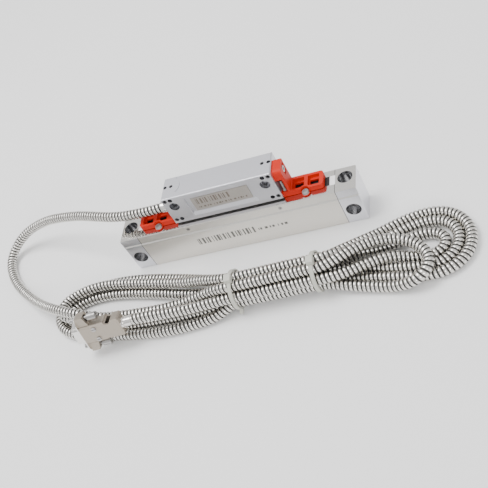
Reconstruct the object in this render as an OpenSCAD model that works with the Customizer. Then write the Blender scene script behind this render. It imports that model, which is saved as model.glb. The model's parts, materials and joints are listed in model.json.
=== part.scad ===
// Sealed linear glass scale with its reader head, transit brackets and armoured cable.
// X runs along the scale, Y to the back and Z up. The scale stands on its bottom face.

/* [Scale body] */
// Length over both end caps
body_l = 192; // [182:10:292]
// Depth of the profile, front to back
body_w = 23.5; // [23:0.5:27]
// Height of the profile
body_h = 33.5; // [33:0.5:38]
// Height of the recessed band along the top of the front
band_h = 8; // [6:0.5:11]
// Depth of that band
band_d = 0.8; // [0.4:0.1:1.2]
// Thickness of the side walls
wall = 2; // [1.6:0.1:2.2]
// Thickness of the roof beside the slot
roof_t = 2.5; // [2.4:0.1:3]
// Radius of the lower back edge
heel_r = 4; // [2:0.5:4]
// Width of the slot in the roof
slot_w = 9; // [8:0.5:10]
// Place of the slot's centre line
slot_y = 1.2; // [0.8:0.1:1.6]

/* [End caps] */
// Length of one end cap
cap_l = 15.4; // [14.5:0.1:18]
// Thickness of the gasket behind each cap
gasket_t = 0.4; // [0.2:0.1:0.8]
// Length of the cap's spigot inside the profile
spigot_l = 8; // [6:0.5:9]
// Diameter of the fixing holes
fix_d = 6.6; // [5.5:0.1:6.6]
// Diameter of their counterbores
fix_head_d = 11.4; // [9.5:0.1:11.8]
// Distance of the holes from the cap's outer end
fix_end = 8; // [7:0.1:8.5]
// Place of the vertical holes across the body
fix_y = 1.7; // [1:0.1:2]
// Height of the horizontal holes
fix_z = 13; // [12:0.5:14]

/* [Glass] */
// Thickness of the glass
glass_t = 2; // [1.6:0.1:2.2]
// Height of the glass
glass_h = 17; // [16:0.5:17.5]
// Place of the glass's front face
glass_front = 2; // [1.8:0.1:2.2]
// Distance between each end of the glass and the cap
glass_end = 10.6; // [10:0.2:14]

/* [Reader head] */
// Length of the head
head_l = 88; // [84:1:96]
// Depth of the head
head_w = 22.4; // [21:0.2:25]
// Height of the head
head_h = 26.4; // [25:0.2:30]
// Front face of the head
head_front = -6.6; // [-7.5:0.1:-6]
// Middle of the head along the scale, as it is parked
head_x = -2; // [-10:1:8]
// Gap between the head and the scale body
head_gap = 1.5; // [1:0.1:2]
// Distance between the head's two mounting holes
head_pitch = 73.2; // [70:0.1:76]
// Height of the mounting holes above the head's underside
head_hole_z = 17.2; // [16:0.1:18]
// Diameter of the mounting holes' counterbores
head_bore_d = 7.8; // [7:0.1:8.2]
// Diameter of the mounting holes
head_hole_d = 4.5; // [4.2:0.1:5.3]

/* [Transit brackets] */
// Length of the foot of the right bracket
foot_l = 31; // [29:0.5:34]
// Width of a bracket
foot_w = 14.2; // [13:0.1:15]
// Height of a foot above the scale body
foot_t = 4.5; // [4:0.1:5]
// Thickness of the right bracket's upright
upright_t = 7; // [6.5:0.1:8]
// Height of the upright's top above the scale body
upright_h = 26; // [24:0.5:26.5]

/* [Carriage] */
// Length of the scanning carriage
carriage_l = 40; // [38:1:44]
// Radius of a ball bearing
bearing_r = 2.5; // [2.2:0.1:2.5]
// Width of a ball bearing
bearing_w = 2; // [1.6:0.1:2.2]
// Radius of the bearing pins
pin_r = 0.8; // [0.6:0.1:0.9]

/* [Cable and plug] */
// Diameter of the armoured hose
hose_d = 8; // [7:0.5:8]
// Diameter of the round bundle that the ties hold together
bundle_d = 26.6; // [26.6:0.2:28]
// Length of the plug's hood along the cable
hood_l = 33.2; // [32:0.4:36]
// Width of the plug's hood
hood_w = 15.6; // [15:0.2:17]
// Thickness of the plug's hood
hood_t = 12; // [11.5:0.5:13]
// Overall width of the plug over its two ears
ear_w = 31; // [30.5:0.1:31.4]
// Distance between the two thumbscrews
screw_pitch = 25; // [24.8:0.1:25.2]

/* [Hidden] */
$fn = 16;

// Clearances
fit = 0.1;          // between a spigot and the profile
run = 0.03;         // between a bearing and what it turns on or rolls on
blade_gap = 0.15;   // between the blade and each lip
slide_gap = 0.3;    // between the brackets and the scale body

// Derived places of the body
front_y = -body_w / 2;
back_y = body_w / 2;
cap_x = body_l / 2 - cap_l;
profile_end = cap_x - gasket_t;
fix_x = body_l / 2 - fix_end;
seat_over = 0.3;    // how far each counterbore runs on past the one that it crosses
seat_z = fix_z - fix_head_d / 2 - seat_over;
seat_y = fix_y + fix_head_d / 2 + seat_over;
edge = 0.5;
floor_t = 2;
cavity_y0 = front_y + band_d + wall;
cavity_y1 = back_y - wall;
cavity_z1 = body_h - roof_t;
spigot_z = floor_t + 6;
slot_y0 = slot_y - slot_w / 2;
slot_y1 = slot_y + slot_w / 2;

// Glass, its groove and its elastic bead
rib_t = 1.2;
rib_h = 3;
bead_t = 0.7;
glass_back = glass_front + glass_t;
glass_top = floor_t + glass_h;
glass_x = cap_x - glass_end;

// Lips, the black clamps at their ends and the white end blocks
lip_root = 1.1;
lip_z0 = body_h - 1.9;
lip_z1 = body_h - 0.9;
clamp_l = 3.6;
block_l = 4;
block_x = cap_x - block_l;
clamp_x = block_x - clamp_l;

// Small screws
set_r = 1.5;
set_x = 37.6;
set_z = body_h - 3.5;
set_depth = 1.8;
cap_screw_r = 1.25;
cap_screw_head_r = 2.3;
cap_screw_head_h = 1.2;
cap_screw_bite = 5;
cap_socket_r = 0.8;
cap_socket_depth = 0.8;
cap_screw_z = [12, 25];

// Head
head_x0 = head_x - head_l / 2;
head_x1 = head_x + head_l / 2;
head_back = head_front + head_w;
head_z0 = body_h + head_gap;
head_z1 = head_z0 + head_h;
head_mid = (head_front + head_back) / 2;
base_t = 2.5;
base_l = 56;
base_w = 16;
cavity_l = 48;
cavity_w = 15.4;
head_roof = 3.4;
label_l = 52.6;
label_z0 = head_z0 + 6.5;
label_z1 = head_z0 + 22;
label_depth = 1;
bevel_z0 = head_z0 + 3.4;
corner_outer = 41.5;
corner_inner = 37;
corner_low = 3.6;
corner_high = head_h - 2.5;
corner_r = 1.7;
corner_depth = 7;
pad_x = 39.5;
pad_y = 12.6;
pad_r = 9.5;
pad_hole_r = 1.5;
pad_hole_depth = 5.5;
pad_cut = 0.35;
post_h = 6;
board_t = 1.6;

// Blade and carriage
blade_t = 1.2;
blade_l = 30;
carriage_top = glass_top + 6;
spring_h = 2;
blade_z = carriage_top + spring_h;
leg_t = 4;
leg_gap = 0.6;
leg_z = 7;
leg_front = glass_front - leg_gap - leg_t;
leg_back = glass_back + leg_gap + leg_t;
face_pin_y = glass_front - bearing_r - run;
edge_pin_z = glass_top + bearing_r + run;
face_z = 10;
upper_z = 16;
face_x = 15;
edge_x = 10;
pocket_gap = 0.3;
lamp_r = 2.2;
lamp_z = 11;

// Brackets
foot_y = 2.4;
foot_z0 = body_h + slide_gap;
foot_z1 = body_h + foot_t;
foot_floor = 1.6;
foot_corner_r = 2.2;
foot_y0 = foot_y - foot_w / 2;
foot_y1 = foot_y + foot_w / 2;
foot_front_wall = 2;
foot_back_wall = 2.4;
pocket_near = [7.6, 16.5];
pocket_far = [19.4, 28];
slot_inset = 1;
foot_slot_y0 = foot_y0 + 4.2;
foot_slot_y1 = foot_y0 + 9.2;
upright_z1 = body_h + upright_h;
upright_y1 = foot_y1 - 1;
upright_rim = 2.2;
upright_nose_r = 3;
upright_pocket_y = 6;
upright_pocket_z0 = foot_z0 + 5;
upright_pocket_z1 = upright_z1 - 8.5;
upright_fillet = 1.5;
clamp_r = 1.5;
clamp_head_r = 2.7;
clamp_head_h = 1.3;
clamp_edge = 0.4;
clamp_cross_r = 1.5;
clamp_cross_w = 0.6;
clamp_cross_depth = 0.7;
washer_r = 3;
washer_t = 0.4;
lug_r = 3.2;
lug_t = 0.8;
boss_t = 1.2;
clamp_x_right = 17.1;
clamp_x_left = 15.3;
clamp_y = foot_y0 - 1;
clamp_z = foot_z0 + lug_t;
lock_x = 2.6;
lock_y = 2.4;
lock_r = 1.5;
lock_head_r = 1.9;
lock_head_h = 2.2;
lock_grip_r = 1.2;
lock_grip_h = 10;
bracket_screw_r = 1.45;
bracket_screw_z = head_z0 + 18.5;
bracket_screw_depth = 3;
bracket_screw_y = foot_y + 1.4;
bracket_seat_depth = 2;
seat_half_w = 2.7;
seat_half_h = 4;

// Gland
gland_y = 3;
gland_z = head_z0 + 10.5;
gland_l = 8;
gland_r = 4.8;
gland_tube_r = 2.5;

// Cable: points along the free arc, from the gland to the folds
run_points = [[-54.15, 3, 45.5], [-66, 2.6, 45.4], [-78, 3.5, 45], [-90, 5.3, 44.2], [-103, 9, 43.2],
    [-116, 14.3, 41.8], [-128, 19.8, 40.1], [-142, 26, 37.8], [-156, 31, 35.2], [-170, 36, 32],
    [-184, 40.2, 28], [-197, 43, 23], [-208, 43.8, 19], [-217, 43, 14.5], [-225, 40, 10.5],
    [-229.5, 35.5, 7.3], [-231.5, 28.5, 5.2], [-230, 20, 4.4], [-226.5, 12.5, 4.2], [-221, 3, 4.2],
    [-212, -8, 4.6], [-203, -16.5, 5.6], [-194, -24.5, 7.4], [-185, -32, 9.8], [-175, -39.8, 13],
    [-166.5, -45.7, 15], [-161.7, -49.1, 15.9]];
// Points from the plug's ferrule down to the bundle
end_points = [[-77.9, -80.7, 22], [-71, -80.4, 22], [-62, -80, 21.4], [-48, -79.3, 19.5],
    [-34, -77.8, 17.6], [-27, -77, 17.3]];

// Hank: the round bundle between the ties, the loops to its right and the folds to its left
tie_gap = 0.15;     // between the bundle and each tie
tie_t = 1.2;
tie_w = 2.8;
tie_left = [1.5, -65.5];
tie_right = [62.5, -64];
tie_head = [5, 5.5, 4.2];
tie_tail = [tie_w, 1, 3.5];
tie_head_turn = 8;
tie_tail_turn = 133;
tie_side = 4;       // bare bundle on each side of a tie
bundle_r = bundle_d / 2;
bundle_z = bundle_r + tie_gap + tie_t + 0.05;
bundle_turn = atan2(tie_right.y - tie_left.y, tie_right.x - tie_left.x);
hank_split = -30;
bundle_x1 = 86;
layer_1 = 8.4;      // heights of one, two and three strands
layer_2 = 16.4;
layer_3 = 24.8;
loops_z1 = 17.4;

// Plug: its middle, its turn in plan, its lean to the back and its parts
plug_at = [-102, -82.7, 22];
plug_turn = 4.7;
plug_lean = 13.8;
flange_t = 0.8;
flange_w = 12;
hood_wall = 1.6;
hood_bevel = 1.8;
hood_nose = 6;
hood_notch_x = 7.4;
hood_notch_r = 3.2;
hood_slot_x = [2.5, 5];
hood_slot_depth = 1.6;
hood_screw_x = -4;
hood_screw_in = 3.2;
hood_screw_r = 1.2;
ear_l = 9;
ear_half_t = 4.2;
ear_side = (ear_w - hood_w) / 2;
shell_l = 6;
shell_w = 17;
shell_t = 9;
shell_wall = 0.5;
insert_l = 3.6;
insert_t = 6.8;
insert_gap = 0.3;
insert_back = 0.4;
contact_r = 0.55;
contact_pitch = 2.77;
contact_row = 1.42;
thumb_r = 1.6;
thumb_head_r = 2.9;
thumb_head_l = 7;
thumb_gap = 0.05;
thumb_reach = 6;
ferrule_l = 7.6;
ferrule_r = 3.9;
ferrule_seat = 4;
split = 0.05;

function arc(c, r, a0, a1, n = 6) = [for (i = [0:n]) c + r * [cos(a0 + (a1 - a0) * i / n), sin(a0 + (a1 - a0) * i / n)]];

// Rings of a tube swept along points; each ring is square to the chord through its neighbours
function unit(v) = v / norm(v);
function heading(p, i) = unit(p[min(i + 1, len(p) - 1)] - p[max(i - 1, 0)]);
function side(t) = unit(cross(t, [0, 0, 1]));
function ring(p, i, r, n) = let (t = heading(p, i), s = side(t), u = cross(s, t))
    [for (k = [0:n - 1]) p[i] + r * (cos(k * 360 / n) * s + sin(k * 360 / n) * u)];

module tube(p, d, n = 10) {
    m = len(p);
    points = [for (i = [0:m - 1]) each ring(p, i, d / 2, n)];
    walls = [for (i = [0:m - 2], k = [0:n - 1])
        [i * n + k, i * n + (k + 1) % n, (i + 1) * n + (k + 1) % n, (i + 1) * n + k]];
    polyhedron(points, concat(walls, [[for (k = [n - 1:-1:0]) k]], [[for (k = [0:n - 1]) (m - 1) * n + k]]));
}

// A section drawn in Y and Z, extruded along X
module along_x(x0, l) translate([x0, 0, 0]) rotate([90, 0, 90]) linear_extrude(l) children();

// A cylinder along X or Y from a start point
module rod_x(p, l, r) translate(p) rotate([0, 90, 0]) cylinder(h = l, r = r);
module rod_y(p, l, r) translate(p) rotate([-90, 0, 0]) cylinder(h = l, r = r);

// A box from its low corner to its high corner
module box(a, b) translate(a) cube(b - a);

module both_ends() {
    children();
    mirror([1, 0, 0]) children();
}

module outline() {
    polygon(concat([[front_y + edge, 0]],
        arc([back_y - heel_r, heel_r], heel_r, -90, 0),
        arc([back_y - edge, body_h - edge], edge, 0, 90, 2),
        [[front_y + band_d + edge, body_h], [front_y + band_d, body_h - edge],
         [front_y + band_d, body_h - band_h + band_d], [front_y, body_h - band_h], [front_y, edge]]));
}

module profile() {
    color("silver") difference() {
        along_x(-profile_end, 2 * profile_end) {
            difference() {
                outline();
                translate([cavity_y0, floor_t]) square([cavity_y1 - cavity_y0, cavity_z1 - floor_t]);
                translate([slot_y0, cavity_z1 - 1]) square([slot_w, roof_t + 2]);
                translate([slot_y0 - lip_root, lip_z0]) square([slot_w + 2 * lip_root, lip_z1 - lip_z0]);
            }
            translate([glass_front - rib_t, floor_t - fit]) square([rib_t, rib_h + fit]);
            translate([glass_back + bead_t, floor_t - fit]) square([rib_t, rib_h + fit]);
        }
        both_ends() {
            rod_y([set_x, front_y + band_d - 1, set_z], 1 + set_depth, set_r);
            for (z = cap_screw_z) cap_screw_hole(z);
        }
    }
}

module cap_screw_hole(z) {
    x = cap_x - spigot_l / 2;
    rod_y([x, cavity_y1 - cap_screw_bite, z], cap_screw_bite + wall + 1, cap_screw_r + run);
    translate([x, back_y - cap_screw_head_h, z]) rotate([-90, 0, 0])
        cylinder(h = cap_screw_head_h + run, r1 = cap_screw_r + run, r2 = cap_screw_head_r + run);
}

module cap_screws() {
    x = cap_x - spigot_l / 2;
    color("gainsboro") both_ends() for (z = cap_screw_z) difference() {
        union() {
            rod_y([x, cavity_y1 - cap_screw_bite + fit, z], cap_screw_bite + wall - 2 * fit, cap_screw_r);
            translate([x, back_y - cap_screw_head_h, z]) rotate([-90, 0, 0])
                cylinder(h = cap_screw_head_h - run, r1 = cap_screw_r, r2 = cap_screw_head_r - run);
        }
        rod_y([x, back_y - cap_socket_depth, z], 2, cap_socket_r);
    }
}

module cap() {
    difference() {
        union() {
            intersection() {
                along_x(cap_x, cap_l) outline();
                translate([0, 0, -1]) linear_extrude(body_h + 2) end_plan();
                translate([0, back_y + 1, 0]) rotate([90, 0, 0]) linear_extrude(body_w + 2) end_side();
            }
            along_x(cap_x - spigot_l, spigot_l + 1) translate([cavity_y0 + fit, spigot_z])
                square([cavity_y1 - cavity_y0 - 2 * fit, cavity_z1 - spigot_z]);
        }
        // Vertical fixing hole and its counterbore
        translate([fix_x, fix_y, -1]) cylinder(h = body_h + 2, r = fix_d / 2);
        translate([fix_x, fix_y, seat_z]) cylinder(h = body_h, r = fix_head_d / 2);
        // Horizontal fixing hole and its counterbore
        rod_y([fix_x, front_y - 1, fix_z], body_w + 2, fix_d / 2);
        rod_y([fix_x, front_y - 1, fix_z], seat_y - front_y + 1, fix_head_d / 2);
        for (z = cap_screw_z) cap_screw_hole(z);
    }
}

module end_plan() {
    r = 1.2;
    x = body_l / 2;
    polygon(concat([[0, front_y - 1]], [[x - r, front_y - 1], [x - r, front_y]],
        arc([x - r, front_y + r], r, -90, 0), arc([x - r, back_y - r], r, 0, 90), [[x - r, back_y + 1], [0, back_y + 1]]));
}

module end_side() {
    r = 1;
    x = body_l / 2;
    polygon(concat([[0, 0]], arc([x - r, r], r, -90, 0), arc([x - r, body_h - r], r, 0, 90), [[0, body_h]]));
}

module cap_right() color("lightgray") cap();
module cap_left() color("lightgray") mirror([1, 0, 0]) cap();

module cap_gaskets() {
    color("dimgray") both_ends() along_x(profile_end, gasket_t) difference() {
        outline();
        translate([cavity_y0, floor_t]) square([cavity_y1 - cavity_y0, cavity_z1 - floor_t]);
        translate([slot_y0, cavity_z1 - 1]) square([slot_w, roof_t + 2]);
    }
}

module glass_scale() color("lightcyan") box([-glass_x, glass_front, floor_t], [glass_x, glass_back, glass_top]);

module glass_bead() {
    color("black") box([-glass_x, glass_back, floor_t], [glass_x, glass_back + bead_t, floor_t + rib_h - 0.5]);
}

module lip() {
    tip = slot_y - blade_t / 2 - blade_gap;
    along_x(-clamp_x, 2 * clamp_x) polygon([[slot_y0 - lip_root, lip_z0], [slot_y0, lip_z0],
        [tip, body_h - 1.5], [tip, body_h - 0.9], [slot_y0, lip_z1], [slot_y0 - lip_root, lip_z1]]);
}

module lip_front() color("black") lip();
module lip_back() color("black") translate([0, 2 * slot_y, 0]) mirror([0, 1, 0]) lip();

module seal_clamps() {
    color("black") both_ends() box([clamp_x, slot_y0, cavity_z1], [block_x, slot_y1, body_h]);
}

module slot_end_blocks() {
    color("white") both_ends() box([block_x, slot_y0, cavity_z1], [cap_x, slot_y1, body_h]);
}

module band_screws() {
    color("gray") both_ends() difference() {
        rod_y([set_x, front_y + band_d + 0.1, set_z], set_depth - 0.1, set_r);
        rod_y([set_x, front_y + band_d, set_z], 1.2, 0.7, $fn = 6);
    }
}

// Reader head
module head_housing() {
    color("gainsboro") difference() {
        along_x(head_x0, head_l) head_section();
        // Chamfer round both ends
        for (s = [-1, 1]) translate([head_x + s * head_l / 2, head_mid, head_z1]) rotate([0, 45, 0])
            cube([1, head_w + 2, 1], center = true);
        // Cavity for the circuit board, open at the bottom, and the seat of the base plate
        box([head_x - cavity_l / 2, head_mid - cavity_w / 2, head_z0 - 1],
            [head_x + cavity_l / 2, head_mid + cavity_w / 2, head_z1 - head_roof]);
        box([head_x - base_l / 2 - fit, head_mid - base_w / 2 - fit, head_z0 - 1],
            [head_x + base_l / 2 + fit, head_mid + base_w / 2 + fit, head_z0 + base_t]);
        for (s = [-1, 1]) translate([head_x + s * (base_l / 2 - 2), head_mid, head_z0]) cylinder(h = 8, r = 1.3);
        // Label recess with the bevel and ledge below it
        along_x(head_x - label_l / 2, label_l) polygon([[head_front - 1, bevel_z0],
            [head_front, bevel_z0], [head_front + label_depth, label_z0],
            [head_front + label_depth, label_z1], [head_front - 1, label_z1]]);
        // Mounting holes with counterbores
        for (s = [-1, 1]) {
            rod_y([head_x + s * head_pitch / 2, head_front - 1, head_z0 + head_hole_z], head_w + 2, head_hole_d / 2);
            rod_y([head_x + s * head_pitch / 2, head_front - 1, head_z0 + head_hole_z], 9, head_bore_d / 2);
        }
        // Corner holes in the front
        for (s = [-1, 1], dx = [corner_outer, corner_inner], z = [corner_low, corner_high])
            rod_y([head_x + s * dx, head_front - 1, head_z0 + z], corner_depth + 1, corner_r);
        // Shallow step on the top, cut round two pads, and the pads' holes
        difference() {
            box([head_x - pad_x + 6, head_front + 5.8, head_z1 - pad_cut], [head_x + pad_x - 6, head_back + 1, head_z1 + 1]);
            for (s = [-1, 1]) translate([head_x + s * pad_x, head_front + pad_y, head_z1 - 1]) cylinder(h = 3, r = pad_r);
        }
        for (s = [-1, 1], dx = [-2.5, 2.5])
            translate([head_x + s * pad_x + dx, head_front + pad_y, head_z1 - pad_hole_depth])
                cylinder(h = pad_hole_depth + 1, r = pad_hole_r);
        // Cable entry and the bracket's screw hole
        rod_x([head_x0 - 1, gland_y, gland_z], (head_l - cavity_l) / 2 + 2, gland_tube_r + run);
        rod_x([head_x1 - bracket_screw_depth - 0.2, bracket_screw_y, bracket_screw_z], bracket_screw_depth + 1, bracket_screw_r);
    }
}

module head_section() {
    r = 1;
    polygon(concat([[head_front, head_z0], [head_back, head_z0]],
        arc([head_back - r, head_z1 - r], r, 0, 90, 4), arc([head_front + 0.6, head_z1 - 0.6], 0.6, 90, 180, 3)));
}

module head_base() {
    color("darkgray") difference() {
        union() {
            box([head_x - base_l / 2, head_mid - base_w / 2, head_z0], [head_x + base_l / 2, head_mid + base_w / 2, head_z0 + base_t]);
            for (x = [-16, 16], y = [-5, 5]) translate([head_x + x, head_mid + y, head_z0]) cylinder(h = base_t + post_h, r = 1.5);
        }
        translate([head_x, slot_y, head_z0 - 1]) linear_extrude(base_t + 2) blade_plan(fit);
        for (s = [-1, 1]) translate([head_x + s * (base_l / 2 - 2), head_mid, head_z0]) {
            translate([0, 0, -1]) cylinder(h = base_t + 2, r = 1.3);
            cylinder(h = 1.4, r1 = 2.6, r2 = 1.25);
        }
    }
}

module head_base_screws() {
    color("silver") for (s = [-1, 1]) translate([head_x + s * (base_l / 2 - 2), head_mid, head_z0 + 0.1]) difference() {
        union() {
            cylinder(h = 1.2, r1 = 2.3, r2 = 1.2);
            cylinder(h = 7.5, r = 1.25);
        }
        translate([0, 0, -1]) cylinder(h = 1.8, r = 0.8);
    }
}

module socket_screw(r, l) difference() {
    cylinder(h = l, r = r);
    translate([0, 0, l - 1.2]) cylinder(h = 2, r = r * 0.55, $fn = 6);
}

module head_front_screws() {
    color("silver") for (s = [-1, 1], z = [corner_low, corner_high])
        translate([head_x + s * corner_outer, head_front + corner_depth, head_z0 + z]) rotate([90, 0, 0])
            socket_screw(corner_r, corner_depth - 0.4);
}

module head_top_screws() {
    color("silver") for (s = [-1, 1])
        translate([head_x + s * (pad_x - 2.5), head_front + pad_y, head_z1 - pad_hole_depth])
            socket_screw(pad_hole_r, pad_hole_depth - 0.4);
}

module label_plate() {
    color("rosybrown") box([head_x - label_l / 2 + 4, head_front + label_depth - 0.4, label_z0 + 1],
        [head_x + label_l / 2 - 3, head_front + label_depth, label_z1 - 1.5]);
}

module head_circuit_board() {
    z = head_z0 + base_t + post_h;
    color("darkgreen") union() {
        box([head_x - 21, head_mid - 7, z], [head_x + 21, head_mid + 7, z + board_t]);
        box([head_x - 9, head_mid - 4, z + board_t - 0.1], [head_x + 1, head_mid + 4, z + board_t + 1.6]);
        box([head_x - 20, head_mid - 5, z + board_t - 0.1], [head_x - 14, head_mid + 5, z + board_t + 5]);
        box([head_x + 8, head_mid - 3, z + board_t - 0.1], [head_x + 15, head_mid + 3, z + board_t + 1.2]);
    }
}

// The blade's plan: a strip with pointed ends that part the lips
module blade_plan(grow = 0) {
    l = blade_l / 2 + grow;
    t = blade_t / 2 + grow;
    polygon([[-l, 0], [-l + 5, -t], [l - 5, -t], [l, 0], [l - 5, t], [-l + 5, t]]);
}

module reader_blade() {
    color("slategray") union() {
        translate([head_x, slot_y, blade_z]) linear_extrude(head_z0 + base_t - blade_z) blade_plan();
        box([head_x - 10, slot_y - 3, head_z0 + base_t], [head_x + 10, slot_y + 3, head_z0 + base_t + 1.2]);
    }
}

module coupling_spring() {
    w = 3;
    t = 0.4;
    color("goldenrod") translate([head_x, slot_y + w / 2, carriage_top]) rotate([90, 0, 0]) linear_extrude(w)
        polygon([[-9, 0], [-5, 0], [-2, spring_h - t], [2, spring_h - t], [5, 0], [9, 0], [9, t],
            [5.2, t], [2.2, spring_h], [-2.2, spring_h], [-5.2, t], [-9, t]]);
}

// Scanning carriage
module carriage() {
    x0 = head_x - carriage_l / 2;
    x1 = head_x + carriage_l / 2;
    color("darkslategray") difference() {
        union() {
            box([x0, leg_front, leg_z], [x1, glass_front - leg_gap, carriage_top]);
            box([x0, glass_back + leg_gap, leg_z], [x1, leg_back, carriage_top]);
            box([x0, leg_front, glass_top + 1], [x1, leg_back, carriage_top]);
        }
        for (s = [-1, 1]) {
            face_pocket(s * face_x, face_z);
            box([head_x + s * edge_x - bearing_r - pocket_gap, (glass_front + glass_back - bearing_w) / 2 - pocket_gap, glass_top - 1],
                [head_x + s * edge_x + bearing_r + pocket_gap, (glass_front + glass_back + bearing_w) / 2 + pocket_gap,
                 edge_pin_z + bearing_r + pocket_gap]);
            edge_pin(s);
        }
        face_pocket(0, upper_z);
        face_pin(-face_x, face_z);
        face_pin(face_x, face_z);
        face_pin(0, upper_z);
        rod_y([head_x, leg_front - 1, lamp_z], leg_t + 2, lamp_r);
        // Seat of the reticle and the window behind it
        box([head_x - 6, glass_back + leg_gap - 1, lamp_z - 3], [head_x + 6, glass_back + leg_gap + 0.8, lamp_z + 3]);
        box([head_x - 4, glass_back, lamp_z - 2], [head_x + 4, leg_back + 1, lamp_z + 2]);
    }
}

module face_pocket(x, z) {
    box([head_x + x - bearing_r - pocket_gap, leg_front - 2, z - bearing_w / 2 - pocket_gap],
        [head_x + x + bearing_r + pocket_gap, glass_front, z + bearing_w / 2 + pocket_gap]);
}

module face_pin(x, z) translate([head_x + x, face_pin_y, z - 2.6]) cylinder(h = 5.2, r = pin_r);
module edge_pin(s) rod_y([head_x + s * edge_x, (glass_front + glass_back) / 2 - 2.8, edge_pin_z], 5.6, pin_r);

module bearing_pins() {
    color("silver") union() {
        face_pin(-face_x, face_z);
        face_pin(face_x, face_z);
        face_pin(0, upper_z);
        edge_pin(-1);
        edge_pin(1);
    }
}

module bearing() rotate_extrude() polygon([[pin_r + run, -bearing_w / 2], [bearing_r - 0.2, -bearing_w / 2],
    [bearing_r, -bearing_w / 2 + 0.2], [bearing_r, bearing_w / 2 - 0.2], [bearing_r - 0.2, bearing_w / 2],
    [pin_r + run, bearing_w / 2]]);

module face_bearing(x, z) color("lightgray") translate([head_x + x, face_pin_y, z]) bearing();
module edge_bearing(s) {
    color("lightgray") translate([head_x + s * edge_x, (glass_front + glass_back) / 2, edge_pin_z]) rotate([-90, 0, 0]) bearing();
}

module face_bearing_left() face_bearing(-face_x, face_z);
module face_bearing_right() face_bearing(face_x, face_z);
module face_bearing_upper() face_bearing(0, upper_z);
module edge_bearing_left() edge_bearing(-1);
module edge_bearing_right() edge_bearing(1);

module lamp() {
    color("khaki") union() {
        rod_y([head_x, leg_front, lamp_z], leg_t - 0.2, lamp_r);
        rod_y([head_x, leg_front - 1.2, lamp_z], 1.2, lamp_r + 0.7);
    }
}

module reticle() {
    color("lightcyan") box([head_x - 6, glass_back + 0.3, lamp_z - 3], [head_x + 6, glass_back + leg_gap + 0.8, lamp_z + 3]);
}

module sensor_board() {
    color("darkgreen") union() {
        box([head_x - 9, leg_back, leg_z + 0.5], [head_x + 9, leg_back + 0.8, lamp_z + 7]);
        box([head_x - 3.8, leg_back - 1, lamp_z - 1.8], [head_x + 3.8, leg_back + 0.1, lamp_z + 1.8]);
    }
}

// Brackets: a foot with two pockets, a cross rib and a notch for its clamp screw
module foot(l, x) {
    r = foot_corner_r;
    difference() {
        union() {
            difference() {
                union() {
                    translate([0, 0, foot_z0]) linear_extrude(foot_z1 - foot_z0)
                        polygon(concat([[0, foot_y0]], arc([l - r, foot_y0 + r], r, -90, 0),
                            arc([l - r, foot_y1 - r], r, 0, 90), [[0, foot_y1]]));
                    children();
                }
                foot_pocket(pocket_near);
                foot_pocket(pocket_far);
            }
            // Wall round the notch, inside the foot, and the lug in front of it
            intersection() {
                translate([x, clamp_y, foot_z0]) cylinder(h = foot_z1 - foot_z0, r = lug_r + boss_t);
                box([0, foot_y0, foot_z0], [l, foot_y1, foot_z1]);
            }
            translate([x, clamp_y, foot_z0]) cylinder(h = lug_t, r = lug_r);
        }
        translate([x, clamp_y, clamp_z]) cylinder(h = foot_t, r = lug_r);
        translate([x, clamp_y, foot_z0 - 1]) cylinder(h = foot_t, r = clamp_r + fit);
    }
}

module foot_pocket(x) {
    box([x[0], foot_y0 + foot_front_wall, foot_z0 + foot_floor],
        [x[1], foot_y1 - foot_back_wall, foot_z1 + upright_fillet + 1]);
    box([x[0] + slot_inset, foot_slot_y0, foot_z0 - 1], [x[1] - slot_inset, foot_slot_y1, foot_z1]);
}

module bracket_right() {
    color("orangered") translate([head_x1, 0, 0]) difference() {
        foot(foot_l, clamp_x_right) {
            upright();
            translate([upright_t, upright_y1, foot_z1]) rotate([90, 0, 0])
                linear_extrude(upright_y1 - foot_y0) fillet(upright_fillet);
        }
        // Pocket in the front of the upright, open to the head, and the lock screw's hole
        box([-1, foot_y0 - 1, upright_pocket_z0],
            [upright_t - upright_rim, foot_y0 + upright_pocket_y, upright_pocket_z1]);
        translate([lock_x, foot_y0 + lock_y, foot_z0 - 1]) cylinder(h = 8, r = lock_r + fit);
        // Seat and hole of the screw that goes into the head's end
        box([upright_t - bracket_seat_depth, bracket_screw_y - seat_half_w, bracket_screw_z - seat_half_h],
            [upright_t + 1, bracket_screw_y + seat_half_w, bracket_screw_z + seat_half_h]);
        rod_x([-1, bracket_screw_y, bracket_screw_z], upright_t + 2, bracket_screw_r + fit);
    }
}

// The upright, with its top front edge rounded
module upright() {
    r = upright_nose_r;
    along_x(0, upright_t) polygon(concat([[foot_y0, foot_z0], [upright_y1, foot_z0], [upright_y1, upright_z1]],
        arc([foot_y0 + r, upright_z1 - r], r, 90, 180)));
}

module bracket_left() color("orangered") translate([head_x0, 0, 0]) mirror([1, 0, 0]) foot(foot_l, clamp_x_left);

module fillet(r) difference() {
    translate([-fit, -fit]) square(r + fit);
    translate([r, r]) circle(r);
}

module clamp_places() {
    translate([head_x1 + clamp_x_right, clamp_y, clamp_z]) children();
    translate([head_x0 - clamp_x_left, clamp_y, clamp_z]) children();
}

module bracket_clamp_screws() {
    color("silver") clamp_places() difference() {
        union() {
            translate([0, 0, -lug_t]) cylinder(h = lug_t + washer_t + fit, r = clamp_r);
            translate([0, 0, washer_t]) cylinder(h = clamp_head_h - clamp_edge, r = clamp_head_r);
            translate([0, 0, washer_t + clamp_head_h - clamp_edge])
                cylinder(h = clamp_edge, r1 = clamp_head_r, r2 = clamp_head_r - clamp_edge);
        }
        // Cross recess
        for (turn = [20, 110]) rotate([0, 0, turn]) translate([0, 0, washer_t + clamp_head_h])
            cube([2 * clamp_cross_r, clamp_cross_w, 2 * clamp_cross_depth], center = true);
    }
}

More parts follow.
